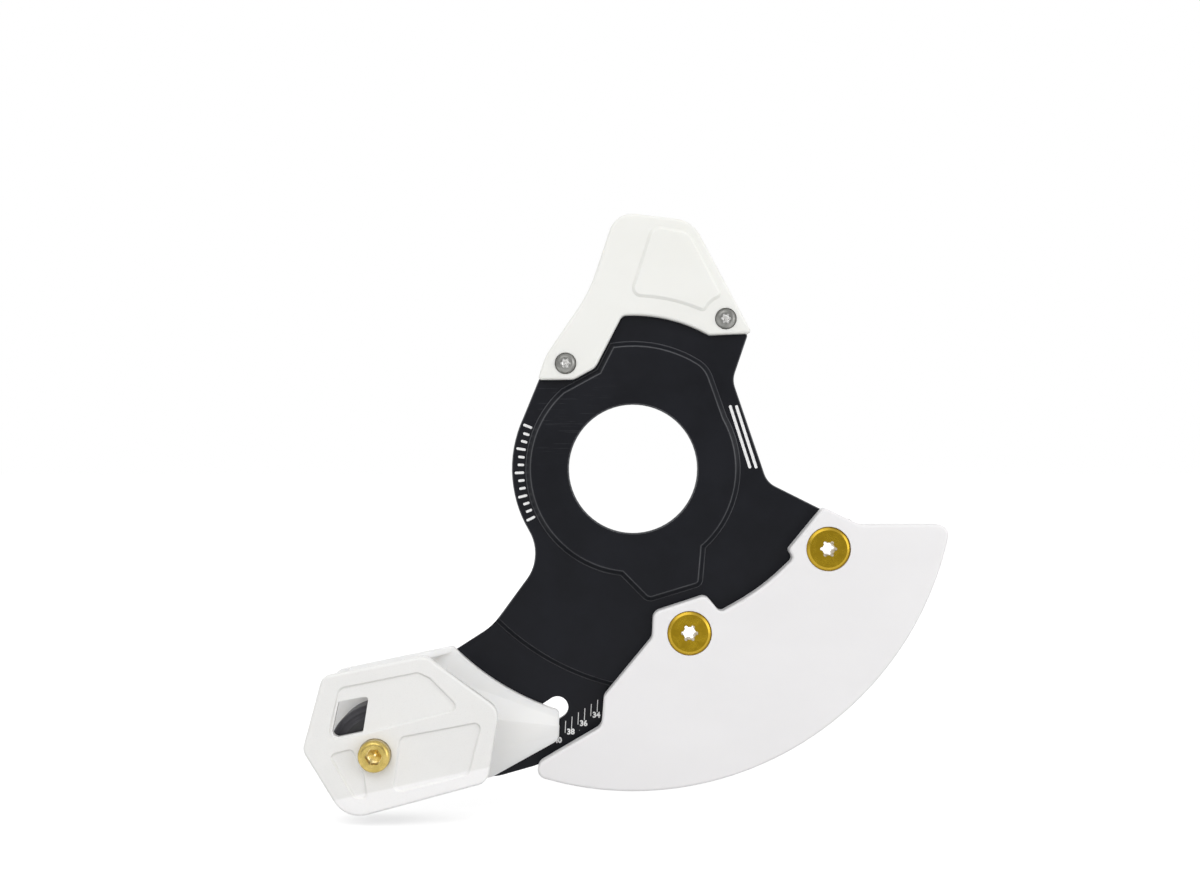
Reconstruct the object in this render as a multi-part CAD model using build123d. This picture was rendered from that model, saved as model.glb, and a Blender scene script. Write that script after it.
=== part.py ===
from build123d import *
import os
from math import atan2, cos, degrees, hypot, pi, radians, sin, tan

os.makedirs("parts", exist_ok=True)

# Frame: origin on the bottom bracket axis at the frame shell's face, +X forwards, +Z up, outboard along -Y.
# A place in the plate's plane is (x, z), and a level is a distance outboard of the shell's face. Millimetres.

# Back plate: one stamped sheet, with a raised disc round the bore and a lower arm that steps back
bore_radius = 17.5
sheet = 2.5
hub_edge_radius = 33.1
disc_radius = 29.4
disc_top_radius = 34.9
disc_shoulder_round = 9.0
disc_rise = 2.0
arm_drop = 2.0
ramp_run = 1.5
bend_round = 0.4
neck_radius = 12.0
disc_shoulder_turn = 55.0
upper_arm_turn = 155.0
edge_clearance = 0.5

# Upper guide, a moulded bumper held by two button-head screws
upper_arc_radius = 41.8
upper_arc_left = -3.0
upper_arc_right = 20.6
upper_inner_corner = (-10.3, 27.5)
upper_foot_corner = (-16.2, 24.3)
upper_flange = 3.0
upper_pad_inset = 4.9
upper_pad_rise = 0.7
upper_pad_draft = 50.0
upper_pad_round = 0.3
upper_pad_corner = 1.5
upper_wall = 2.4
upper_edge_round = 0.8
upper_boss_wall = 3.0
left_screw = (-18.4, 28.7)
right_screw_offset = (4.6, 4.5)
screw_radius = 1.5
screw_head_radius = 2.85
screw_head_height = 1.65
screw_dome_share = 0.75
screw_socket_radius = 1.4
screw_socket_depth = 1.1
screw_drill_radius = 0.95
screw_sink = 0.8

# Bash guard, held by two flange bolts with sleeve nuts
bash_radius = 87.2
bash_thickness = 6.0
bash_edge_round = 0.8
upper_bolt = (52.8, -21.6)
lower_bolt = (15.2, -44.4)
flange_radius = 5.95
flange_height = 1.2
flange_bevel = 0.9
flange_bevel_drop = 0.45
bolt_radius = 4.0
bolt_end_gap = 0.5
star_radius = 2.3
star_root_share = 0.74
star_lobe_share = 0.21
sleeve_radius = 5.0
sleeve_flange_radius = 6.5
sleeve_slot = 2.0

# Lower guide: base with pointer tongue, cover, idler on an axle bolt that clamps it through a slot in the arm
axle = (-68.2, -75.0)
slide_angle = 33.3
chain_pitch = 12.7
tooth_steps = 6
base_arc_radius = 69.0
base_floor = 3.0
slide_gap = 0.05
lug_length = 11.0
lug_width = 5.8
lug_from_axle = (34.6, 1.15)
lug_depth = 2.2
tongue_from_axle = 47.9
tongue_rise = 1.2
tongue_tip_rise = 0.4
tongue_edge_drop = 0.5
slot_clearance = 0.1
slot_end_clearance = 0.3
roof_wall = 1.6
roof_depth = 13.5
roof_end_run = 18.0
peg_radius = 2.0
peg_length = 1.5
cover_thickness = 3.0
cover_edge_round = 0.8
panel_depth = 0.7
panel_draft = 35.0
chain_room = 17.1

# Idler with two ball bearings
axle_radius = 2.5
axle_head_radius = 4.25
axle_head_height = 5.0
axle_head_sink = 1.2
axle_head_round = 1.2
axle_key_size = 4.0
axle_key_depth = 2.8
axle_drill_radius = 1.9
idler_radius = 12.8
idler_hub_radius = 9.5
idler_side_gap = 0.8
idler_edge_round = 1.5
idler_groove_radius = 10.6
idler_groove_width = 1.2
idler_groove_depth = 0.5
bearing_radius = 6.5
bearing_width = 4.0
bearing_sink = 0.5
race_wall = 1.1
ball_radius = 1.0
ball_count = 8
ball_gap = 0.05
ball_cage_wall = 0.8
ball_cage_width = 2.6
shield_thickness = 0.3
shield_sink = 0.1
shield_gap = 0.1
spacer_wall = 1.2
washer_radius = 6.0
washer_thickness = 0.8
nut_width = 9.0
nut_height = 3.0
axle_tip = 0.4

# Half the point angle of the drill that starts a key socket, and the share of its point that is left
drill_taper = 59.0
drill_share = 0.85

# Fits
thread_gap = 0.05
hole_gap = 0.1
press_gap = 0.01
level_tolerance = 0.001

# How many times its own size a cutting outline reaches beyond what it cuts
ample = 4.0

# Ends of the upper guide's inner arc, which its right screw follows
upper_arc_left_end = (upper_arc_left, (upper_arc_radius**2 - upper_arc_left**2) ** 0.5)
upper_arc_right_end = (upper_arc_right, (upper_arc_radius**2 - upper_arc_right**2) ** 0.5)
right_screw = (upper_arc_right + right_screw_offset[0], upper_arc_right_end[1] + right_screw_offset[1])

# Levels
disc_front = sheet
mid_front = disc_front - disc_rise
mid_back = mid_front - sheet
arm_front = mid_front - arm_drop
arm_back = arm_front - sheet
upper_front = mid_front + upper_flange
bash_front = mid_front + bash_thickness
base_back = arm_front + slide_gap
base_front = base_back + base_floor
cover_back = base_front + chain_room
cover_front = cover_back + cover_thickness
idler_rear = base_front + idler_side_gap
idler_front = cover_back - idler_side_gap
rear_bearing = idler_rear + bearing_sink
front_bearing = idler_front - bearing_sink - bearing_width

# Slide: each tooth more on the ring moves the idler out by a tooth's share of the pitch radius
slide_way = (cos(radians(slide_angle)), sin(radians(slide_angle)))
axle_angle = degrees(atan2(-axle[1], -axle[0]))
slide_travel = tooth_steps * chain_pitch / (2 * pi) / cos(radians(axle_angle - slide_angle))
slide_shift = (slide_travel * slide_way[0], slide_travel * slide_way[1])

# The tongue's tip lies where the base's arc ends
tip_x = axle[0] + tongue_from_axle
tongue_tip = (tip_x, -((base_arc_radius**2 - tip_x**2) ** 0.5))

# Ramps of the stamped sheet
disc_draft = degrees(atan2(ramp_run, disc_rise))
disc_bend_shift = sheet * tan(radians(90 - disc_draft) / 2)
arm_draft = degrees(atan2(ramp_run, arm_drop))
arm_bend_shift = sheet * tan(radians(90 - arm_draft) / 2)


def beside(place, offset):
    """Gives a place that lies at an offset from another place."""
    return (place[0] + offset[0], place[1] + offset[1])


def corner_beside(place, dx, dz, radius):
    """Gives an outline corner at an offset from a place, with its rounding radius."""
    return (place[0] + dx, place[1] + dz, radius)


def round_corner(sketch, near, radius):
    """Rounds the sketch's corner that lies nearest to a place."""
    corner = sketch.vertices().sort_by_distance((near[0], near[1], 0))[0]
    return fillet(corner, radius)


def rounded(corners):
    """Makes a closed outline from corners of (x, z, rounding radius)."""
    sketch = make_face(Polyline(*[(x, z) for x, z, radius in corners], close=True))
    for x, z, radius in corners:
        if radius > 0:
            sketch = round_corner(sketch, (x, z), radius)
    return sketch


def seat(level, centre=(0, 0)):
    """Gives a plane that faces outboard, at a level and centred on a place."""
    return Plane.XZ.offset(level) * Pos(centre[0], centre[1])


def slab(sketch, low, high, draft=0):
    """Extrudes an outline from one level to a higher one, narrowing by the draft angle."""
    return extrude(seat(low) * sketch, amount=high - low, taper=draft)


def disc(centre, radius, low, high):
    return slab(Pos(*centre) * Circle(radius), low, high)


def ring(centre, outer, inner, low, high):
    return slab(Pos(*centre) * (Circle(outer) - Circle(inner)), low, high)


def edges_at(piece, level):
    """Selects a piece's edges that lie flat at a level."""
    return piece.edges().filter_by_position(Axis.Y, -level - level_tolerance, -level + level_tolerance)


def star(radius):
    """Makes a six-lobed socket outline."""
    lobe = Circle(star_lobe_share * radius)
    return Circle(star_root_share * radius) + PolarLocations((1 - star_lobe_share) * radius, 6) * lobe


def drill_point(centre, level, radius):
    """Makes the cone that a drill leaves in a socket's floor at a level."""
    depth = drill_share * radius / tan(radians(drill_taper))
    return extrude(seat(level, centre) * Circle(radius), amount=-depth, taper=drill_taper)


def slot_between(start, end, width):
    """Makes a round-ended slot whose end centres are two places."""
    middle = ((start[0] + end[0]) / 2, (start[1] + end[1]) / 2)
    return SlotCenterPoint(middle, end, width)


# Outlines

def upper_guide_outline():
    left_end = upper_arc_left_end
    right_end = upper_arc_right_end
    sketch = rounded([
        (-26.0, 24.2, 0.8),
        (-24.0, 30.6, 18),
        (-12.0, 48.2, 40),
        corner_beside(right_screw, -29.9, 29.2, 6.5),
        corner_beside(right_screw, -9.1, 26.7, 8.5),
        corner_beside(right_screw, 7.2, -4.0, 0.8),
        (*right_end, 0),
        (*left_end, 0),
        (*upper_inner_corner, 4),
        (*upper_foot_corner, 4),
    ])
    arc_span = upper_arc_right - upper_arc_left
    arc_zone = Pos(upper_arc_left + arc_span / 2, upper_arc_radius) * Rectangle(arc_span, upper_arc_radius)
    sketch -= Circle(upper_arc_radius) & arc_zone
    sketch = round_corner(sketch, left_end, 2)
    return round_corner(sketch, right_end, 1.2)


def upper_pad_outline():
    """Raised pad, whose lower edge follows the guide's inner arc and goes round the right screw's boss."""
    pad = rounded([
        corner_beside(right_screw, -27.0, 4.0, 0),
        corner_beside(right_screw, 3.1, -1.3, 0),
        corner_beside(right_screw, -9.9, 23.7, 4.5),
        corner_beside(right_screw, -20.1, 25.6, 3.5),
    ])
    pad -= Circle(upper_arc_radius + upper_pad_inset)
    pad -= Pos(*right_screw) * Circle(screw_head_radius + upper_boss_wall)
    pad = round_corner(pad, beside(right_screw, (-26.2, 5.8)), 2.5)
    pad = round_corner(pad, beside(right_screw, (-5.7, 1.5)), upper_pad_corner)
    return round_corner(pad, beside(right_screw, (-0.4, 5.8)), upper_pad_corner)


def bash_outline():
    beyond = ample * bash_radius
    sketch = rounded([
        (-33.0, -84.0, 0),
        (-8.6, -69.7, 3),
        (-7.95, -61.5, 2.5),
        corner_beside(lower_bolt, -10.1, -1.3, 3),
        corner_beside(lower_bolt, -9.8, 5.6, 2.5),
        corner_beside(lower_bolt, 4.4, 10.3, 2.2),
        corner_beside(lower_bolt, 8.3, 5.6, 1.6),
        ((lower_bolt[0] + upper_bolt[0]) / 2 + 1.0, (lower_bolt[1] + upper_bolt[1]) / 2 + 0.7, 60),
        corner_beside(upper_bolt, -9.3, -2.5, 1.6),
        corner_beside(upper_bolt, -10.9, -0.3, 1.2),
        corner_beside(upper_bolt, -1.3, 11.3, 1.4),
        corner_beside(upper_bolt, 8.4, 6.6, 6),
        (beyond, upper_bolt[1] + 6.6, 0),
        (beyond, -beyond, 0),
        (-33.0, -beyond, 0),
    ])
    sketch = sketch & Circle(bash_radius)
    sketch = round_corner(sketch, (bash_radius, upper_bolt[1] + 6.6), 3.0)
    return round_corner(sketch, (-28.6, -81.4), 2.6)


def backplate_outline():
    arms = rounded([
        (-25.8, 24.2, 1.2),
        corner_beside(left_screw, -0.3, 7.8, 5),
        (-7.0, 47.5, 6),
        corner_beside(right_screw, -1.3, 9.1, 5),
        corner_beside(right_screw, 6.1, -4.5, 1),
        (hub_edge_radius - 5.9, hub_edge_radius - 8.8, 6),
        (hub_edge_radius + 3.6, -3.7, 6),
        corner_beside(upper_bolt, -1.3, 10.5, 2.5),
        corner_beside(upper_bolt, 9.8, 6.6, 5),
        corner_beside(upper_bolt, 8.0, -7.6, 8),
        corner_beside(upper_bolt, -5.8, -11.4, 8),
        corner_beside(lower_bolt, 9.3, -8.1, 8),
        corner_beside(lower_bolt, -3.2, -13.1, 8),
        (-2.5, -62.5, 8),
        (-6.0, -71.5, 4),
        (-26.5, -81.3, 12),
        (-37.0, -84.3, 12),
        corner_beside(axle, 2.0, -9.4, 6),
        corner_beside(axle, -9.6, -4.2, 7),
        corner_beside(axle, -7.4, 8.0, 7),
        (-38.6, -43.2, 15),
        (-21.5, -19.8, 0),
        (-20.0, 0, 0),
        (hub_edge_radius * cos(radians(upper_arm_turn)), hub_edge_radius * sin(radians(upper_arm_turn)), 0),
    ])
    sketch = arms + Circle(hub_edge_radius)
    return round_corner(sketch, (-23.8, -23.0), neck_radius)


def disc_outline(inset=0):
    """Outline of the raised disc's foot, or at an inset from it: a circle, a fuller top and a lower lobe."""
    top = rounded([
        (0, 0, 0),
        (disc_radius - 1.2, 7.2, 0),
        (disc_radius - 11.4, 36.0, 0),
        (-6.0, 40.0, 0),
        (-15.0, 16.0, 0),
    ])
    lobe = rounded([
        corner_beside(lower_bolt, -24.7, 21.4, 0),
        corner_beside(lower_bolt, -11.3, 7.8, 3),
        corner_beside(lower_bolt, 3.8, 12.4, 2.5),
        corner_beside(lower_bolt, 5.5, 32.4, 0),
    ])
    foot_run = (upper_foot_corner[0] - upper_inner_corner[0], upper_foot_corner[1] - upper_inner_corner[1])
    beyond_foot = beside(upper_foot_corner, (ample * foot_run[0], ample * foot_run[1]))
    guide_side = rounded([
        (*beyond_foot, 0),
        (*upper_inner_corner, 0),
        (*upper_arc_left_end, 0),
        (beyond_foot[0], upper_arc_radius, 0),
    ])
    sketch = Circle(disc_radius - inset) + (inset_by(top, inset) & Circle(disc_top_radius - inset))
    turn = radians(disc_shoulder_turn)
    shoulder = (disc_top_radius * cos(turn), disc_top_radius * sin(turn))
    sketch = round_corner(sketch, shoulder, disc_shoulder_round - inset) + inset_by(lobe, inset)
    sketch -= offset(guide_side, edge_clearance + inset, kind=Kind.INTERSECTION)
    return sketch.faces().sort_by(SortBy.AREA)[-1]


def inset_by(sketch, inset):
    return offset(sketch, -inset, kind=Kind.INTERSECTION) if inset else sketch


def base_outline():
    sketch = rounded([
        corner_beside(axle, -13.1, 20.0, 4),
        corner_beside(axle, 19.2, 26.7, 0),
        (*beside(tongue_tip, (0.2, 0.4)), 0),
        corner_beside(tongue_tip, 0, -8.0, 2.5),
        corner_beside(axle, 29.8, -9.0, 1.5),
        corner_beside(axle, -6.8, -16.2, 8),
        corner_beside(axle, -18.0, 1.6, 4),
    ])
    sketch -= Circle(base_arc_radius)
    sketch = round_corner(sketch, tongue_tip, 1.6)
    return round_corner(sketch, beside(axle, (19.4, 26.6)), 1.2)


def cover_outline():
    return rounded([
        corner_beside(axle, -14.0, 20.6, 3),
        corner_beside(axle, 13.1, 26.1, 4.5),
        corner_beside(axle, 32.7, 11.9, 5),
        corner_beside(axle, 29.5, -7.4, 4),
        corner_beside(axle, -7.8, -17.4, 8),
        corner_beside(axle, -19.2, 1.1, 3.5),
    ])


# Back plate

def backplate():
    blank = slab(backplate_outline(), arm_back, mid_front)
    blank = fillet(edges_at(blank, mid_front), bend_round)

    # The lower arm steps back along an arc that clears the base at the end of its slide
    foot_radius = base_arc_radius - edge_clearance
    beyond = ample * foot_radius
    arm_face = slab(Pos(*slide_shift) * Rectangle(beyond, beyond), arm_front, mid_front)
    arm_face -= slab(Pos(*slide_shift) * Circle(foot_radius), arm_front, mid_front, arm_draft)
    hollow = slab(Pos(*slide_shift) * Circle(foot_radius - arm_bend_shift), arm_back, mid_back, arm_draft)
    plate = blank - arm_face - hollow

    # The disc is pressed out of the sheet, with a matching hollow behind it
    plate += slab(disc_outline(), mid_front, disc_front, disc_draft)
    plate -= slab(disc_outline(disc_bend_shift), mid_back, 0, disc_draft)

    # Bore, screw holes, bolt holes and the two slots of the lower guide
    holes = disc((0, 0), bore_radius, arm_back, disc_front)
    for screw in (left_screw, right_screw):
        holes += disc(screw, screw_radius + thread_gap, arm_back, disc_front)
    for bolt in (upper_bolt, lower_bolt):
        holes += disc(bolt, sleeve_radius + hole_gap, arm_back, disc_front)
    lug_start, lug_end = lug_ends()
    reach = (slide_travel + slot_end_clearance) / slide_travel
    slot_end = beside(lug_end, (slide_shift[0] * reach, slide_shift[1] * reach))
    slot_start = beside(lug_start, (-slide_way[0] * slot_end_clearance, -slide_way[1] * slot_end_clearance))
    holes += slab(slot_between(slot_start, slot_end, lug_width + 2 * slot_clearance), arm_back, disc_front)
    axle_slot = slot_between(axle, beside(axle, slide_shift), 2 * (axle_radius + slot_end_clearance))
    holes += slab(axle_slot, arm_back, disc_front)
    plate -= holes

    # The disc's bend and the bore's edge are slightly round
    return fillet(edges_at(plate, disc_front), bend_round)


def lug_ends():
    """Gives the centres of the lug's round ends at rest."""
    centre = beside(axle, lug_from_axle)
    half = (lug_length - lug_width) / 2
    start = beside(centre, (-half * slide_way[0], -half * slide_way[1]))
    end = beside(centre, (half * slide_way[0], half * slide_way[1]))
    return start, end


# Upper guide

def upper_guide():
    body = slab(upper_guide_outline(), mid_front, upper_front)
    body = fillet(edges_at(body, upper_front), upper_edge_round)
    pad = upper_pad_outline()
    pad_front = upper_front + upper_pad_rise
    body += slab(pad, upper_front, pad_front, upper_pad_draft)
    body = fillet(edges_at(body, pad_front), upper_pad_round)
    hollow = (offset(pad, -upper_wall) - backplate_outline()).faces().sort_by(SortBy.AREA)[-1]
    body -= slab(hollow, mid_front, pad_front - upper_wall)
    for screw in (left_screw, right_screw):
        body -= disc(screw, screw_radius + hole_gap, mid_front, upper_front)
        body -= disc(screw, screw_head_radius + hole_gap, upper_front - screw_sink, upper_front)
    return body


def upper_guide_screws():
    under_head = upper_front - screw_sink
    top = under_head + screw_head_height
    screws = []
    for screw in (left_screw, right_screw):
        head = disc(screw, screw_head_radius, under_head, top)
        head = fillet(edges_at(head, top), screw_head_height * screw_dome_share)
        socket_floor = top - screw_socket_depth
        head -= slab(Pos(*screw) * star(screw_socket_radius), socket_floor, top)
        head -= drill_point(screw, socket_floor, screw_drill_radius)
        screws.append(head + disc(screw, screw_radius, mid_back, under_head))
    return screws


# Bash guard

def bash_guard():
    guard = slab(bash_outline(), mid_front, bash_front)
    guard = fillet(edges_at(guard, bash_front), bash_edge_round)
    for bolt in (upper_bolt, lower_bolt):
        guard -= disc(bolt, sleeve_radius + hole_gap, mid_front, bash_front)
        guard -= disc(bolt, flange_radius + hole_gap, bash_front - flange_height, bash_front)
    return guard


def bash_bolts():
    under_flange = bash_front - flange_height
    bolts = []
    for bolt in (upper_bolt, lower_bolt):
        flange = disc(bolt, flange_radius, under_flange, bash_front)
        rim = edges_at(flange, bash_front)
        side = flange.faces().filter_by(GeomType.CYLINDER)[0]
        flange = chamfer(rim, flange_bevel_drop, flange_bevel, reference=side)
        shank = disc(bolt, bolt_radius, mid_back + bolt_end_gap, under_flange)
        socket = slab(Pos(*bolt) * star(star_radius), mid_back, bash_front)
        bolts.append(flange + shank - socket)
    return bolts


def bash_sleeve_nuts():
    back = mid_back - flange_height
    sleeve_end = bash_front - flange_height - bolt_end_gap
    nuts = []
    for bolt in (upper_bolt, lower_bolt):
        nut = ring(bolt, sleeve_flange_radius, bolt_radius + thread_gap, back, mid_back)
        nut += ring(bolt, sleeve_radius, bolt_radius + thread_gap, mid_back, sleeve_end)
        key_slot = Pos(*bolt) * Rectangle(ample * sleeve_flange_radius, sleeve_slot)
        nut -= slab(key_slot, back, back + flange_height / 2)
        nuts.append(nut)
    return nuts


# Lower guide

def roof():
    """Strip along the base's top edge, from behind the idler to the chain's way in, where it slopes down."""
    start, end = beside(axle, (-8.4, 21.0)), beside(axle, (18.5, 26.55))
    length = hypot(end[0] - start[0], end[1] - start[1])
    along = ((end[0] - start[0]) / length, (end[1] - start[1]) / length)
    inward = (along[1] * roof_wall, -along[0] * roof_wall)
    inner_end = beside(end, inward)
    strip = rounded([(*start, 0), (*end, 0), (*inner_end, 0), (*beside(start, inward), 0)])
    top = base_front + roof_depth
    slope_top = beside(end, (-along[0] * roof_end_run, -along[1] * roof_end_run))
    block = slab(strip, base_front - base_floor / 2, top)
    return cut_above(block, (*end, base_front), (*inner_end, base_front), (*slope_top, top))


def pillar_outline():
    """Block under the chain's way, between idler and cover edge, which the cover stands on."""
    return rounded([
        corner_beside(axle, 27.6, -3.2, 1.5),
        corner_beside(axle, 17.4, 2.2, 1.5),
        corner_beside(axle, 16.6, -9.4, 1.5),
        corner_beside(axle, 26.6, -7.2, 1.5),
    ])


def peg_place():
    return beside(axle, (21.6, -4.4))


def tongue():
    """Pointer with a crease along it: a slab cut by planes that fall away from the crease."""
    crest = base_front + tongue_rise
    tip_level = base_front + tongue_tip_rise
    edge_level = base_front - tongue_edge_drop
    root, reach = 13.0, 37.0
    region = base_outline() & Pos(*beside(axle, (root + reach / 2, 0))) * Rectangle(reach, 2 * reach)
    block = slab(region, base_front - base_floor / 2, crest)
    ridge_start, ridge_end = beside(axle, (30.2, 6.9)), beside(tongue_tip, (0, -4.2))
    upper_edge, lower_edge = beside(tongue_tip, (-7.9, 3.6)), beside(tongue_tip, (-7.9, -11.6))
    root_upper, root_lower = beside(axle, (root, 9.0)), beside(axle, (root, -5.0))
    ridge = [(*ridge_start, crest), (*ridge_end, tip_level)]
    for third in ((*upper_edge, edge_level), (*lower_edge, edge_level)):
        block = cut_above(block, *ridge, third)
    return cut_above(block, (*root_upper, base_front), (*root_lower, base_front), (*ridge_start, crest))


def cut_above(piece, *places):
    """Removes what lies outboard of the plane through three places of (x, z, level)."""
    first, second, third = [Vector(x, -level, z) for x, z, level in places]
    normal = (second - first).cross(third - first)
    if normal.Y > 0:
        normal = -normal
    return split(piece, bisect_by=Plane(origin=first, z_dir=normal), keep=Keep.BOTTOM)


def guide_base():
    base = slab(base_outline(), base_back, base_front)
    base += roof()
    base += slab(pillar_outline(), base_front, cover_back)
    base += disc(peg_place(), peg_radius, cover_back, cover_back + peg_length)
    base += tongue()
    lug_start, lug_end = lug_ends()
    base += slab(slot_between(lug_start, lug_end, lug_width), base_back - lug_depth, base_back)
    return base - disc(axle, axle_radius + hole_gap, base_back, base_front)


def window_outline():
    return rounded([
        corner_beside(axle, -9.7, 14.0, 0.8),
        corner_beside(axle, -1.7, 15.4, 0.8),
        corner_beside(axle, -3.2, 6.0, 0.8),
        corner_beside(axle, -11.7, 4.2, 1.6),
    ])


def panel_outlines():
    """Sunk panels of the cover's front face, with ribs between them that meet at the axle."""
    upper = rounded([
        corner_beside(axle, -9.3, 17.3, 2),
        corner_beside(axle, 11.2, 21.4, 2),
        corner_beside(axle, 14.3, 20.0, 2),
        corner_beside(axle, 22.0, 12.2, 1.2),
        corner_beside(axle, -3.1, 5.7, 0.5),
        corner_beside(axle, -12.3, 3.8, 2),
    ])
    left = rounded([
        corner_beside(axle, -11.7, -0.2, 1),
        corner_beside(axle, -6.2, 1.2, 1),
        corner_beside(axle, -3.1, -5.4, 1.5),
        corner_beside(axle, -2.4, -11.6, 1),
        corner_beside(axle, -5.4, -10.9, 1),
    ])
    right = rounded([
        corner_beside(axle, 6.8, 4.4, 1.5),
        corner_beside(axle, 27.8, 8.4, 1.2),
        corner_beside(axle, 24.4, -4.9, 1.5),
        corner_beside(axle, 4.8, -9.8, 1.5),
    ])
    return upper, left, right


def guide_cover():
    cover = slab(cover_outline(), cover_back, cover_front)
    cover = fillet(edges_at(cover, cover_front), cover_edge_round)
    for panel in panel_outlines():
        cover -= slab(panel, cover_front - panel_depth, cover_front, -panel_draft)
    cover -= slab(window_outline(), cover_back, cover_front)
    cover -= disc(axle, axle_radius + hole_gap, cover_back, cover_front)
    cover -= disc(axle, axle_head_radius + hole_gap, cover_front - axle_head_sink, cover_front)
    return cover - disc(peg_place(), peg_radius + hole_gap, cover_back, cover_back + peg_length + hole_gap)


def axle_bolt():
    under_head = cover_front - axle_head_sink
    top = under_head + axle_head_height
    head = disc(axle, axle_head_radius, under_head, top)
    head = fillet(edges_at(head, top), axle_head_round)
    key = RegularPolygon(axle_key_size / 2, 6, major_radius=False)
    key_floor = top - axle_key_depth
    head -= slab(Pos(*axle) * key, key_floor, top)
    head -= drill_point(axle, key_floor, axle_drill_radius)
    tip = arm_back - washer_thickness - nut_height - axle_tip
    return head + disc(axle, axle_radius, tip, under_head)


def clamp_washer():
    return ring(axle, washer_radius, axle_radius + hole_gap, arm_back - washer_thickness, arm_back)


def clamp_nut():
    back = arm_back - washer_thickness - nut_height
    nut = slab(Pos(*axle) * RegularPolygon(nut_width / 2, 6, major_radius=False), back, back + nut_height)
    return nut - disc(axle, axle_radius + thread_gap, back, back + nut_height)


def axle_spacer(low, high):
    return ring(axle, axle_radius + spacer_wall, axle_radius + press_gap, low, high)


# Idler

def idler_hub():
    hub = ring(axle, idler_hub_radius, bearing_radius - race_wall, idler_rear, idler_front)
    hub -= disc(axle, bearing_radius + press_gap, idler_rear, rear_bearing + bearing_width)
    return hub - disc(axle, bearing_radius + press_gap, front_bearing, idler_front)


def idler_tyre():
    tyre = ring(axle, idler_radius, idler_hub_radius + press_gap, idler_rear, idler_front)
    rims = tyre.edges().filter_by(GeomType.CIRCLE).group_by(SortBy.RADIUS)[-1]
    tyre = fillet(rims, idler_edge_round)
    groove_outer = idler_groove_radius + idler_groove_width / 2
    for low in (idler_rear, idler_front - idler_groove_depth):
        tyre -= ring(axle, groove_outer, groove_outer - idler_groove_width, low, low + idler_groove_depth)
    return tyre


def bearing(low):
    """Makes a ball bearing's pieces, with its rear face at a level."""
    inner_radius = axle_radius + press_gap
    pitch_radius = (bearing_radius + axle_radius) / 2
    middle = low + bearing_width / 2
    groove = seat(middle, axle) * Torus(pitch_radius, ball_radius + ball_gap)
    outer_bore = bearing_radius - race_wall
    inner_land = axle_radius + race_wall
    places = [seat(middle, axle) * place for place in PolarLocations(pitch_radius, ball_count)]
    balls = [place * Sphere(ball_radius) for place in places]
    cage = ring(axle, pitch_radius + ball_cage_wall / 2, pitch_radius - ball_cage_wall / 2,
                middle - ball_cage_width / 2, middle + ball_cage_width / 2)
    pocket = Rot(0, 90, 0) * Cylinder(ball_radius + ball_gap, 2 * ball_radius)
    for place in places:
        cage -= place * pocket
    shields = []
    for face in (low + shield_sink, low + bearing_width - shield_sink - shield_thickness):
        shield = ring(axle, outer_bore - press_gap, inner_land + shield_gap, face, face + shield_thickness)
        shields.append(shield)
    return {
        "bearing_outer_race": ring(axle, bearing_radius, outer_bore, low, low + bearing_width) - groove,
        "bearing_inner_race": ring(axle, inner_land, inner_radius, low, low + bearing_width) - groove,
        "bearing_balls": balls,
        "ball_cage": cage,
        "bearing_shields": shields,
    }


pieces = {
    "backplate": backplate(),
    "upper_guide": upper_guide(),
    "upper_guide_screws": upper_guide_screws(),
    "bash_guard": bash_guard(),
    "bash_bolts": bash_bolts(),
    "bash_sleeve_nuts": bash_sleeve_nuts(),
    "guide_base": guide_base(),
    "guide_cover": guide_cover(),
    "axle_bolt": axle_bolt(),
    "clamp_washer": clamp_washer(),
    "clamp_nut": clamp_nut(),
    "rear_axle_spacer": axle_spacer(base_front, rear_bearing),
    "centre_axle_spacer": axle_spacer(rear_bearing + bearing_width, front_bearing),
    "front_axle_spacer": axle_spacer(front_bearing + bearing_width, cover_back),
    "idler_hub": idler_hub(),
    "idler_tyre": idler_tyre(),
}
for side, low in (("rear", rear_bearing), ("front", front_bearing)):
    for name, piece in bearing(low).items():
        pieces[f"{side}_{name}"] = piece

for name, piece in pieces.items():
    solids = Compound(children=piece) if isinstance(piece, list) else piece
    export_step(solids, f"parts/{name}.step")
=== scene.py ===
"""Looks of a bicycle chain guide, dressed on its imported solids.
Metres: +X forwards, +Z up, outboard along -Y."""

from math import radians, tau

import bmesh
import bpy
import numpy as np
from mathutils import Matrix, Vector


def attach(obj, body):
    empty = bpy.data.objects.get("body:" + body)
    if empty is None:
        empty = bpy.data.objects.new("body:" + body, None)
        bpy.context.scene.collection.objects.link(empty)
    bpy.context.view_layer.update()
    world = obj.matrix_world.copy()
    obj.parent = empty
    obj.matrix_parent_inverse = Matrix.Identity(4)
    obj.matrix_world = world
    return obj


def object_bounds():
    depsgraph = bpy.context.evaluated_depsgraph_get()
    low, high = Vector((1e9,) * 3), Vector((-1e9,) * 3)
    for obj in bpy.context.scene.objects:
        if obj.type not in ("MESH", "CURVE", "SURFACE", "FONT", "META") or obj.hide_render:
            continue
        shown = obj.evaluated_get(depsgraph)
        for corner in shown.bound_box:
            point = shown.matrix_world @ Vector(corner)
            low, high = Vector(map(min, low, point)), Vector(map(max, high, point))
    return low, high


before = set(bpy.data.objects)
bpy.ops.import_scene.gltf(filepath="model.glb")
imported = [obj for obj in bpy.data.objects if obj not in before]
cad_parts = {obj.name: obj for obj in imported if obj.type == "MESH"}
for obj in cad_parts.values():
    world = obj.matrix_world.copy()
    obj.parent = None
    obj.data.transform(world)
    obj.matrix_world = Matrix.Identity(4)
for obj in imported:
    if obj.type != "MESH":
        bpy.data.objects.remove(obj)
cad_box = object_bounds()

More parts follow.
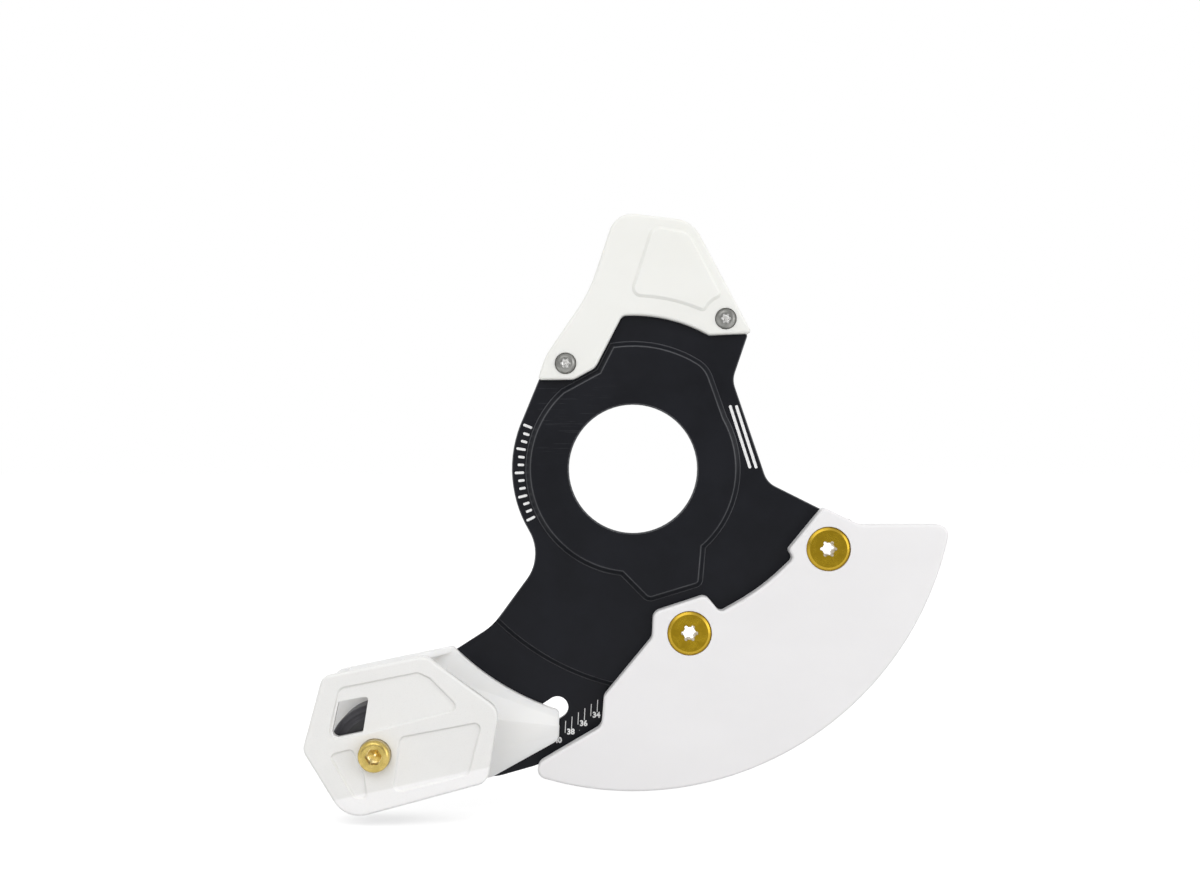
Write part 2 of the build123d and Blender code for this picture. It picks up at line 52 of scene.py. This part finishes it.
# Places on the part, as (x, z)
BOLTS = [(0.0528, -0.0216), (0.0152, -0.0444)]
SCREWS = [(-0.0184, 0.0287), (0.0252, 0.0409)]
AXLE = [(-0.0682, -0.0750)]
SCRATCHED = (-0.019, 0.016)
# Two points on the base's lower edge, where it stands behind the cover
LIP_LEFT = (-0.0778, -0.0867)
LIP_RIGHT = (-0.03905, -0.0784)

# Levels along Y: two flats of the plate, and the step from one flat to the next
MID_FRONT = -0.0005
ARM_FRONT = 0.0015
FLAT_STEP = 0.0020

# How softly painted light and shade fade in: across a radius, down a socket, over the cover's lip
RADIUS_BLUR = 0.0001
LEVEL_BLUR = 0.0002
LIP_BLUR = 0.0004

# Printed marks
INK = 0.00002
PILL_POINTS = 24
MERGE = 1e-7
TICK_COUNT = 7
FIRST_TICK = np.array([-0.00965, -0.06344])
TICK_STEP = np.array([-0.001755, -0.001152])
TICK_FALL = np.array([-0.00016, -0.00315])
TICK_WIDTH = 0.00018
NUMBERS = {0: "34", 2: "36", 4: "38", 6: "40"}
NUMBER_SHIFT = np.array([-0.00036, -0.0041])
NUMBER_SIZE = 0.0021
NUMBER_WEIGHT = 0.00009
HUB_TURNS = np.radians(np.arange(158.0, 208.0, 4.0))
HUB_TICK_START = 0.0301
HUB_TICK_END = 0.0312
HUB_LONG_END = 0.0320
HUB_LONG_EVERY = 3
HUB_TICK_WIDTH = 0.0007
STRIPE_TOPS = np.array([[0.0266, 0.0170], [0.0283, 0.0170]])
STRIPE_FEET = np.array([[0.0319, 0.0005], [0.0336, 0.0005]])
STRIPE_WIDTH = 0.0008

# Stage
FLOOR_REACH = 6.0
FLOOR_DROP = 0.003
FLOOR_GREY = 0.62
FLOOR_GLOW = 0.62
LIGHT_LEVEL = 0.70
DIM_LEVEL = 0.22
CAMERA_PLACE = (-0.00902, -0.5625, 0.00692)
SENSOR_WIDTH = 36.0
LENS = 61.71
NEAREST = 0.01


# Node helpers

def new_finish(name):
    """Gives a fresh material with its node tree and its main shader."""
    material = bpy.data.materials.new(name)
    material.use_nodes = True
    return material, material.node_tree, material.node_tree.nodes["Principled BSDF"]


def fix(shader, values):
    """Sets the shader's sockets that are the same all over."""
    for name, value in values.items():
        shader.inputs[name].default_value = value


def feed(tree, socket, value):
    """Links a socket when given another node's output, and otherwise sets it."""
    if isinstance(value, bpy.types.NodeSocket):
        tree.links.new(value, socket)
    else:
        socket.default_value = value


def put(tree, kind, settings=None, **inputs):
    """Adds a node, sets its own settings, and sets or links its inputs by name."""
    node = tree.nodes.new(kind)
    for key, value in (settings or {}).items():
        setattr(node, key, value)
    for key, value in inputs.items():
        feed(tree, node.inputs[key], value)
    return node


def reckon(tree, operation, first, second=0.0):
    node = put(tree, "ShaderNodeMath", {"operation": operation})
    feed(tree, node.inputs[0], first)
    feed(tree, node.inputs[1], second)
    return node.outputs[0]


def times(tree, first, second):
    return reckon(tree, "MULTIPLY", first, second)


def between(tree, value, low, high, start=0.0, end=1.0):
    """Maps a value smoothly from low..high to start..end."""
    node = put(tree, "ShaderNodeMapRange", {"interpolation_type": "SMOOTHSTEP"}, Value=value)
    ends = {"From Min": low, "From Max": high, "To Min": start, "To Max": end}
    fix(node, ends)
    return node.outputs["Result"]


def fading(tree, value, low, high):
    """Falls smoothly from 1 at low to 0 at high."""
    return between(tree, value, low, high, start=1.0, end=0.0)


def noise(tree, place, scale, detail=2.0, roughness=0.5):
    node = put(tree, "ShaderNodeTexNoise",
               Vector=place, Scale=scale, Detail=detail, Roughness=roughness)
    return node.outputs["Fac"]


def mix_colour(tree, share, first, second):
    """Mixes two colours, each a node's output or three numbers."""
    node = put(tree, "ShaderNodeMix", {"data_type": "RGBA"}, Factor=share)
    # The node's colour inputs are its sockets 6 and 7, and its colour output is 2
    for socket, colour in ((node.inputs[6], first), (node.inputs[7], second)):
        linked = isinstance(colour, bpy.types.NodeSocket)
        feed(tree, socket, colour if linked else (*colour, 1.0))
    return node.outputs[2]


def raise_by(tree, height, strength, distance):
    node = put(tree, "ShaderNodeBump", Height=height, Strength=strength, Distance=distance)
    return node.outputs["Normal"]


def place_of(tree):
    return put(tree, "ShaderNodeTexCoord").outputs["Object"]


def split(tree, place):
    return put(tree, "ShaderNodeSeparateXYZ", Vector=place).outputs


def facing_of(tree):
    """Gives 1 on a face square to the outboard axis, and 0 on a face along it."""
    normal = put(tree, "ShaderNodeNewGeometry").outputs["True Normal"]
    return reckon(tree, "ABSOLUTE", split(tree, normal)["Y"])


def turned_place(tree, place, angle, scale):
    """Turns a place about the outboard axis and stretches it, for a pattern that runs one way."""
    node = put(tree, "ShaderNodeMapping", Vector=place, Scale=scale)
    node.inputs["Rotation"].default_value = (0.0, radians(angle), 0.0)
    return node.outputs["Vector"]


def from_point(tree, place, point):
    """Gives the distance in the plate's plane from a point (x, z)."""
    flat = put(tree, "ShaderNodeVectorMath", {"operation": "MULTIPLY"})
    feed(tree, flat.inputs[0], place)
    flat.inputs[1].default_value = (1.0, 0.0, 1.0)
    reach = put(tree, "ShaderNodeVectorMath", {"operation": "DISTANCE"})
    feed(tree, reach.inputs[0], flat.outputs["Vector"])
    reach.inputs[1].default_value = (point[0], 0.0, point[1])
    return reach.outputs["Value"]


def seen_rays(tree):
    """Gives 1 for the camera's rays, and 1 for those and what metal and clear parts see."""
    path = put(tree, "ShaderNodeLightPath").outputs
    seen = reckon(tree, "MAXIMUM", path["Is Camera Ray"], path["Is Glossy Ray"])
    return path["Is Camera Ray"], reckon(tree, "MAXIMUM", seen, path["Is Transmission Ray"])


# Finishes

def painted_ramp_and_bend_masks(tree, place):
    """Marks, for painted light, the ramps of the stamped sheet by their tilt, and on them the
    bends, by the distance to a flat's level. The flats lie a fixed step apart."""
    facing = facing_of(tree)
    ramp = times(tree, between(tree, facing, 0.40, 0.50), fading(tree, facing, 0.93, 0.99))
    above = reckon(tree, "SUBTRACT", split(tree, place)["Y"], MID_FRONT)
    depth = reckon(tree, "PINGPONG", above, FLAT_STEP / 2.0)
    return ramp, times(tree, ramp, fading(tree, depth, 0.00015, 0.00050))


def black_anodised(name, base, fresh):
    """Satin black anodised sheet: cloudy colour, fine grain, ramps painted lighter against their
    shade, a painted highlight along the bends, hair scratches in one patch and a little dust."""
    material, tree, shader = new_finish(name)
    place = place_of(tree)
    cloud = noise(tree, place, 70.0, detail=5.0, roughness=0.6)
    grain = noise(tree, place, 3200.0)
    drawn = turned_place(tree, place, 38.0, (90.0, 90.0, 5200.0))
    hairs = noise(tree, drawn, 1.0, detail=3.0, roughness=0.6)
    patch = fading(tree, from_point(tree, place, SCRATCHED), 0.004, 0.022)
    hair = times(tree, between(tree, hairs, 0.62, 0.70), patch)
    specks = put(tree, "ShaderNodeTexVoronoi", Vector=place, Scale=150.0).outputs["Distance"]
    dusty = between(tree, noise(tree, place, 90.0), 0.56, 0.62)
    dust = times(tree, fading(tree, specks, 0.012, 0.022), dusty)
    colour = mix_colour(tree, between(tree, cloud, 0.3, 0.7), base, fresh)
    colour = mix_colour(tree, times(tree, hair, 0.10), colour, (0.30, 0.31, 0.33))
    colour = mix_colour(tree, times(tree, dust, 0.55), colour, (0.45, 0.45, 0.44))
    ramp, bend = painted_ramp_and_bend_masks(tree, place)
    # Painted light: the ramps are painted lighter to make up for the shade they turn into
    colour = mix_colour(tree, times(tree, ramp, 0.7), colour, (0.018, 0.019, 0.023))
    # Painted highlight: the bends are painted a lighter grey, in patches
    scuff_place_and_bend_highlight = times(tree, bend, between(tree, cloud, 0.25, 0.7, start=0.45, end=1.0))
    colour = mix_colour(tree, scuff_place_and_bend_highlight, colour, (0.095, 0.098, 0.105))
    rough = between(tree, cloud, 0.3, 0.7, start=0.27, end=0.33)
    feed(tree, shader.inputs["Base Color"], colour)
    feed(tree, shader.inputs["Roughness"], reckon(tree, "ADD", rough, times(tree, grain, 0.08)))
    feed(tree, shader.inputs["Normal"], raise_by(tree, grain, 0.12, 0.00002))
    fix(shader, {"Specular IOR Level": 0.19})
    return material


def white_moulding(name, base, deep, glow, depth, rough):
    """Satin moulded plastic: slow flow clouds, faint fine grain and scuffs, and light that soaks
    in by a share (glow) and a depth."""
    material, tree, shader = new_finish(name)
    place = place_of(tree)
    drawn = turned_place(tree, place, 25.0, (26.0, 26.0, 60.0))
    flow = noise(tree, drawn, 1.0, detail=4.0, roughness=0.55)
    grain = noise(tree, place, 2600.0)
    scuff_place_and_bend_highlight = turned_place(tree, place, -30.0, (120.0, 120.0, 2600.0))
    scuff = between(tree, noise(tree, scuff_place_and_bend_highlight, 1.0), 0.66, 0.74)
    colour = mix_colour(tree, between(tree, flow, 0.3, 0.7), base, deep)
    polish = between(tree, grain, 0.2, 0.8, start=rough, end=rough + 0.08)
    height = reckon(tree, "SUBTRACT", grain, times(tree, scuff, 0.6))
    feed(tree, shader.inputs["Base Color"], colour)
    feed(tree, shader.inputs["Roughness"], reckon(tree, "ADD", polish, times(tree, scuff, 0.08)))
    feed(tree, shader.inputs["Normal"], raise_by(tree, height, 0.05, 0.00002))
    fix(shader, {"Subsurface Weight": glow, "Subsurface Radius": (1.0, 0.97, 0.92),
                 "Subsurface Scale": depth, "IOR": 1.48})
    return material


def milky_cover(name):
    """Milky see-through moulding with slow clouds in it, and painted light along its lower lip:
    lighter below the line where the base's lower edge stands behind it, as if light shone through
    from behind."""
    material, tree, shader = new_finish(name)
    place = place_of(tree)
    cloud = noise(tree, place, 60.0, detail=4.0, roughness=0.55)
    grain = noise(tree, place, 7000.0)
    at = split(tree, place)
    slope = (LIP_RIGHT[1] - LIP_LEFT[1]) / (LIP_RIGHT[0] - LIP_LEFT[0])
    climb = times(tree, reckon(tree, "SUBTRACT", at["X"], LIP_LEFT[0]), slope)
    above = reckon(tree, "SUBTRACT", at["Z"], reckon(tree, "ADD", climb, LIP_LEFT[1]))
    lip = fading(tree, above, -LIP_BLUR, LIP_BLUR)
    colour = mix_colour(tree, between(tree, cloud, 0.3, 0.7),
                        (0.85, 0.845, 0.83), (0.875, 0.87, 0.855))
    # Painted light: the lip is painted lighter, as light from behind would shine through it there
    colour = mix_colour(tree, lip, colour, (0.97, 0.96, 0.96))
    polish = between(tree, grain, 0.2, 0.8, start=0.26, end=0.34)
    feed(tree, shader.inputs["Base Color"], colour)
    feed(tree, shader.inputs["Roughness"], polish)
    feed(tree, shader.inputs["Normal"], raise_by(tree, grain, 0.02, 0.000006))
    fix(shader, {"Transmission Weight": 0.04, "Subsurface Weight": 0.25,
                 "Subsurface Radius": (1.0, 0.97, 0.93), "Subsurface Scale": 0.0012, "IOR": 1.45})
    return material


def turned_metal(name, colour, dark, centres, rough, pitch, socket=None, rim=None):
    """Turned metal: fine rings about each centre, a clouded colour and slight wear of the polish.
    A rim is a radius and a colour: what lies beyond it is a bevel, painted brighter as a highlight."""
    material, tree, shader = new_finish(name)
    place = place_of(tree)
    reach = from_point(tree, place, centres[0])
    for centre in centres[1:]:
        reach = reckon(tree, "MINIMUM", reach, from_point(tree, place, centre))
    ring = reckon(tree, "SINE", times(tree, reach, tau / pitch))
    cloud = noise(tree, place, 420.0, detail=4.0, roughness=0.6)
    fine = noise(tree, place, 5200.0)
    shade = mix_colour(tree, between(tree, cloud, 0.3, 0.7), colour, dark)
    polish = between(tree, cloud, 0.3, 0.7, start=rough, end=rough + 0.10)
    polish = reckon(tree, "ADD", polish, times(tree, fine, 0.06))
    # Painted highlight: the bevel beyond the rim is painted brighter
    if rim:
        edge, highlight_colour = rim
        beyond = between(tree, reach, edge, edge + RADIUS_BLUR)
        shade = mix_colour(tree, beyond, shade, highlight_colour)
    # Painted glint on the socket's floor and painted shade on its walls
    if socket:
        cut, socket_glint_and_shade = socket_cut(tree, place, reach, **socket)
        shade = mix_colour(tree, cut, shade, socket_glint_and_shade)
        polish = reckon(tree, "SUBTRACT", polish, times(tree, cut, 0.08))
    feed(tree, shader.inputs["Base Color"], shade)
    feed(tree, shader.inputs["Roughness"], polish)
    feed(tree, shader.inputs["Normal"], raise_by(tree, ring, 0.10, 0.000015))
    fix(shader, {"Metallic": 1.0})
    return material


def socket_cut(tree, place, reach, radius, mouth, floor, highlight_colour, wall_shade):
    """Marks a key's socket within a radius and between the levels of its mouth and floor, and gives
    its colour: a painted glint on the floor, strongest in the middle, and painted shade on the
    walls."""
    depth = split(tree, place)["Y"]
    cut = times(tree, fading(tree, reach, radius, radius + RADIUS_BLUR),
                between(tree, depth, mouth, mouth + LEVEL_BLUR))
    cut = times(tree, cut, fading(tree, depth, floor, floor + LEVEL_BLUR))
    flat = between(tree, facing_of(tree), 0.30, 0.60)
    middle = between(tree, reach, 0.30 * radius, 0.80 * radius, start=1.0, end=0.45)
    return cut, mix_colour(tree, times(tree, flat, middle), wall_shade, highlight_colour)


def dark_moulding(name, colour, bloom, rough, grain_scale):
    """Matt black rubber or plastic: fine grain with a pale bloom in patches."""
    material, tree, shader = new_finish(name)
    place = place_of(tree)
    cloud = noise(tree, place, 160.0, detail=4.0, roughness=0.6)
    grain = noise(tree, place, grain_scale, detail=3.0)
    shade = mix_colour(tree, between(tree, cloud, 0.35, 0.75), colour, bloom)
    polish = between(tree, grain, 0.2, 0.8, start=rough, end=rough + 0.15)
    feed(tree, shader.inputs["Base Color"], shade)
    feed(tree, shader.inputs["Roughness"], polish)
    feed(tree, shader.inputs["Normal"], raise_by(tree, grain, 0.25, 0.00004))
    fix(shader, {"Specular IOR Level": 0.4})
    return material


def printed_ink(name):
    """White screen print: slightly uneven cover over the black."""
    material, tree, shader = new_finish(name)
    cover = noise(tree, place_of(tree), 1500.0, detail=3.0, roughness=0.6)
    colour = mix_colour(tree, between(tree, cover, 0.25, 0.5),
                        (0.66, 0.66, 0.66), (0.84, 0.84, 0.84))
    polish = between(tree, cover, 0.3, 0.7, start=0.45, end=0.6)
    feed(tree, shader.inputs["Base Color"], colour)
    feed(tree, shader.inputs["Roughness"], polish)
    return material


plate_black = black_anodised("plate_black", (0.0026, 0.0031, 0.0058), (0.0046, 0.0053, 0.0090))
nut_black = black_anodised("nut_black", (0.008, 0.008, 0.010), (0.014, 0.014, 0.017))
guard_white = white_moulding("guard_white", (0.82, 0.81, 0.815), (0.84, 0.83, 0.835),
                             glow=0.15, depth=0.0015, rough=0.40)
bumper_white = white_moulding("bumper_white", (0.83, 0.83, 0.795), (0.85, 0.85, 0.82),
                              glow=0.30, depth=0.0015, rough=0.34)
base_white = white_moulding("base_white", (0.89, 0.885, 0.87), (0.91, 0.905, 0.895),
                            glow=0.80, depth=0.004, rough=0.40)
cover_milky = milky_cover("cover_milky")
# The bevel ring's colour on these bolts is a painted highlight
bolt_gold = turned_metal("bolt_gold", (0.34, 0.225, 0.014), (0.28, 0.18, 0.010), BOLTS,
                         rough=0.20, pitch=0.0003, rim=(0.0050, (0.48, 0.32, 0.035)))
# The axle's socket colours are a painted glint on its floor and painted shade on its walls
axle_gold = turned_metal("axle_gold", (0.60, 0.46, 0.15), (0.48, 0.36, 0.10), AXLE,
                         rough=0.20, pitch=0.0003,
                         socket={"radius": 0.0023, "mouth": -0.0251, "floor": -0.0214,
                                 "highlight_colour": (1.0, 0.88, 0.55), "wall_shade": (0.66, 0.52, 0.22)})
# The screws' socket colours are a painted glint on their floors and painted shade on their walls
screw_grey = turned_metal("screw_grey", (0.30, 0.30, 0.285), (0.20, 0.20, 0.19), SCREWS,
                          rough=0.26, pitch=0.0002,
                          socket={"radius": 0.00145, "mouth": -0.0041, "floor": -0.0026,
                                  "highlight_colour": (1.0, 0.99, 0.98), "wall_shade": (0.64, 0.64, 0.63)})
turned_steel = turned_metal("turned_steel", (0.52, 0.52, 0.53), (0.42, 0.42, 0.43), AXLE,
                            rough=0.30, pitch=0.0003)
bearing_steel = turned_metal("bearing_steel", (0.62, 0.62, 0.64), (0.54, 0.54, 0.56), AXLE,
                             rough=0.18, pitch=0.0002)
tyre_black = dark_moulding("tyre_black", (0.030, 0.029, 0.035), (0.050, 0.048, 0.056),
                           rough=0.42, grain_scale=2600.0)
hub_black = dark_moulding("hub_black", (0.020, 0.020, 0.022), (0.032, 0.032, 0.034),
                          rough=0.45, grain_scale=1800.0)
cage_nylon = white_moulding("cage_nylon", (0.60, 0.54, 0.40), (0.66, 0.60, 0.46),
                            glow=0.2, depth=0.001, rough=0.42)
ink_white = printed_ink("ink_white")

# The bearings' races, balls and shields, which aren't named here, are bearing_steel
finish_of = {
    "backplate": plate_black, "upper_guide": bumper_white, "upper_guide_screws": screw_grey,
    "bash_guard": guard_white, "bash_bolts": bolt_gold, "bash_sleeve_nuts": nut_black,
    "guide_base": base_white, "guide_cover": cover_milky, "axle_bolt": axle_gold,
    "clamp_washer": turned_steel, "clamp_nut": turned_steel, "rear_axle_spacer": turned_steel,
    "centre_axle_spacer": turned_steel, "front_axle_spacer": turned_steel,
    "idler_hub": hub_black, "idler_tyre": tyre_black,
    "rear_ball_cage": cage_nylon, "front_ball_cage": cage_nylon,
}
for name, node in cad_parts.items():
    node.data.materials.clear()
    node.data.materials.append(finish_of.get(name, bearing_steel))


# Printed marks on the plate

def add_piece(name, mesh):
    piece = bpy.data.objects.new(name, mesh)
    bpy.context.scene.collection.objects.link(piece)
    return piece


def new_piece(name, places, faces):
    """Puts places and faces into a mesh, merges its doubled points and turns its faces outwards."""
    mesh = bpy.data.meshes.new(name)
    mesh.from_pydata(places.tolist(), [], faces.tolist())
    draft = bmesh.new()
    draft.from_mesh(mesh)
    bmesh.ops.remove_doubles(draft, verts=draft.verts, dist=MERGE)
    bmesh.ops.dissolve_degenerate(draft, edges=draft.edges, dist=MERGE)
    bmesh.ops.recalc_face_normals(draft, faces=draft.faces)
    draft.to_mesh(mesh)
    draft.free()
    return add_piece(name, mesh)


def print_bars(name, starts, ends, width, level):
    """Flat bars with round ends: round each bar's line from start to end a pill outline at half
    the width, drawn as rings from the top's middle line to its rim, down the ink's thickness to
    the plate, and back to the middle."""
    turn = np.linspace(0.0, tau, PILL_POINTS, endpoint=False)
    along = np.where(np.cos(turn) >= 0.0, 1.0, 0.0)
    ring = np.array([0.0, 1.0, 1.0, 0.0])
    height = np.array([INK, INK, 0.0, 0.0])
    run = ends - starts
    way = run / np.linalg.norm(run, axis=1, keepdims=True)
    side = np.stack([-way[:, 1], way[:, 0]], axis=1)
    middle = starts[:, None, :] + along[None, :, None] * run[:, None, :]
    out = (np.cos(turn)[None, :, None] * way[:, None, :]
           + np.sin(turn)[None, :, None] * side[:, None, :])
    flat = middle[:, None] + (width / 2.0) * ring[None, :, None, None] * out[:, None]
    grid = np.empty(flat.shape[:3] + (3,))
    grid[..., 0] = flat[..., 0]
    grid[..., 1] = level - height[None, :, None]
    grid[..., 2] = flat[..., 1]
    index = np.arange(grid[..., 0].size).reshape(grid.shape[:3])
    here, down = index[:, :-1], index[:, 1:]
    corners = [here, np.roll(here, -1, axis=2), np.roll(down, -1, axis=2), down]
    return new_piece(name, grid.reshape(-1, 3), np.stack(corners, axis=-1).reshape(-1, 4))


def print_number(name, text, centre):
    """A printed number on the arm: built-in letter outlines, as thick as the ink, made a mesh and
    set upright on the plate."""
    curve = bpy.data.curves.new(name, "FONT")
    curve.body = text
    curve.size = NUMBER_SIZE
    curve.align_x = "CENTER"
    curve.align_y = "CENTER"
    curve.extrude = INK / 2.0
    curve.offset = NUMBER_WEIGHT
    curve.resolution_u = 4
    maker = add_piece(name + "_maker", curve)
    bpy.context.view_layer.update()
    shaped = maker.evaluated_get(bpy.context.evaluated_depsgraph_get())
    mesh = bpy.data.meshes.new_from_object(shaped)
    bpy.data.objects.remove(maker)
    places = np.empty(len(mesh.vertices) * 3, np.float32)
    mesh.vertices.foreach_get("co", places)
    x, y, z = places.reshape(-1, 3).T
    level = ARM_FRONT - INK / 2.0
    upright = np.stack([x + centre[0], level - z, y + centre[1]], axis=1)
    mesh.vertices.foreach_set("co", upright.astype(np.float32).ravel())
    mesh.update()
    return add_piece(name, mesh)


# The tooth scale on the arm
tick_tops = FIRST_TICK + np.arange(TICK_COUNT)[:, None] * TICK_STEP
tick_feet = tick_tops + TICK_FALL
printed_marks = [print_bars("tooth_scale_ticks", tick_tops, tick_feet, TICK_WIDTH, ARM_FRONT)]
for step, count in NUMBERS.items():
    centre = tick_tops[step] + NUMBER_SHIFT
    printed_marks.append(print_number("tooth_scale_" + count, count, centre))

# Plain marks by the hub: radial ticks down its left edge, and two stripes down its right edge
spoke = np.stack([np.cos(HUB_TURNS), np.sin(HUB_TURNS)], axis=1)
is_long = np.arange(len(spoke)) % HUB_LONG_EVERY == 0
hub_ends = np.where(is_long, HUB_LONG_END, HUB_TICK_END)[:, None] * spoke
printed_marks.append(
    print_bars("hub_edge_ticks", HUB_TICK_START * spoke, hub_ends, HUB_TICK_WIDTH, MID_FRONT))
printed_marks.append(
    print_bars("hub_edge_stripes", STRIPE_TOPS, STRIPE_FEET, STRIPE_WIDTH, MID_FRONT))

for piece in printed_marks:
    piece.data.materials.clear()
    piece.data.materials.append(ink_white)
    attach(piece, "backplate")


# Stage: floor, light and camera

def stage_floor():
    """Pale flat floor: a plain square grid of points under the part, brightened for the camera
    and for what metal and clear parts see."""
    line = np.linspace(-FLOOR_REACH, FLOOR_REACH, 3)
    x, y = np.meshgrid(line, line, indexing="ij")
    places = np.stack([x, y, np.full_like(x, cad_box[0][2] - FLOOR_DROP)], axis=-1)
    index = np.arange(x.size).reshape(x.shape)
    corners = [index[:-1, :-1], index[1:, :-1], index[1:, 1:], index[:-1, 1:]]
    floor = new_piece("floor", places.reshape(-1, 3), np.stack(corners, axis=-1).reshape(-1, 4))
    material, tree, shader = new_finish("floor_pale")
    fix(shader, {"Base Color": (FLOOR_GREY, FLOOR_GREY, FLOOR_GREY, 1.0), "Roughness": 0.9,
                 "Specular IOR Level": 0.0, "Emission Color": (1.0, 1.0, 1.0, 1.0)})
    seen = seen_rays(tree)[1]
    feed(tree, shader.inputs["Emission Strength"], times(tree, seen, FLOOR_GLOW))
    floor.data.materials.append(material)


def white_surround():
    """White world for what the camera, metal and clear parts see, dimmer behind the camera as in
    a real room, and a plain soft level for the light itself."""
    world = bpy.data.worlds.new("surround")
    bpy.context.scene.world = world
    world.use_nodes = True
    tree = world.node_tree
    ground = tree.nodes["Background"]
    ground.inputs["Color"].default_value = (1.0, 1.0, 1.0, 1.0)
    camera_ray, seen = seen_rays(tree)
    way = split(tree, put(tree, "ShaderNodeTexCoord").outputs["Generated"])["Y"]
    mirrored = between(tree, way, -0.95, -0.45, start=DIM_LEVEL, end=1.0)
    shown = times(tree, seen, reckon(tree, "MAXIMUM", camera_ray, mirrored))
    lit = times(tree, reckon(tree, "SUBTRACT", 1.0, seen), LIGHT_LEVEL)
    feed(tree, ground.inputs["Strength"], reckon(tree, "ADD", shown, lit))


def soft_lamp(name, place, target, size, power, glints=True):
    """Square soft lamp at a place, turned to face a target. One without glints lights, but isn't
    mirrored."""
    light = bpy.data.lights.new(name, "AREA")
    light.size = size
    light.energy = power
    lamp = add_piece(name, light)
    lamp.location = place
    way = Vector(target) - Vector(place)
    lamp.rotation_euler = way.to_track_quat("-Z", "Y").to_euler()
    lamp.visible_glossy = glints


stage_floor()
white_surround()
soft_lamp("key_above", (-0.25, -1.02, 0.62), (0.0, 0.0, -0.02), size=0.9, power=4.8)
soft_lamp("fill_right", (0.85, -0.75, 0.12), (-0.02, 0.0, -0.03), size=0.8, power=4.0)
soft_lamp("fill_behind", (-0.30, 0.95, 0.35), (0.0, 0.0, -0.02), size=0.9, power=2.4,
          glints=False)

camera = add_piece("camera", bpy.data.cameras.new("camera"))
camera.location = CAMERA_PLACE
camera.rotation_euler = (radians(90.0), 0.0, 0.0)
camera.data.sensor_fit = "HORIZONTAL"
camera.data.sensor_width = SENSOR_WIDTH
camera.data.lens = LENS
camera.data.clip_start = NEAREST
bpy.context.scene.camera = camera
bpy.context.scene.view_settings.view_transform = "Standard"
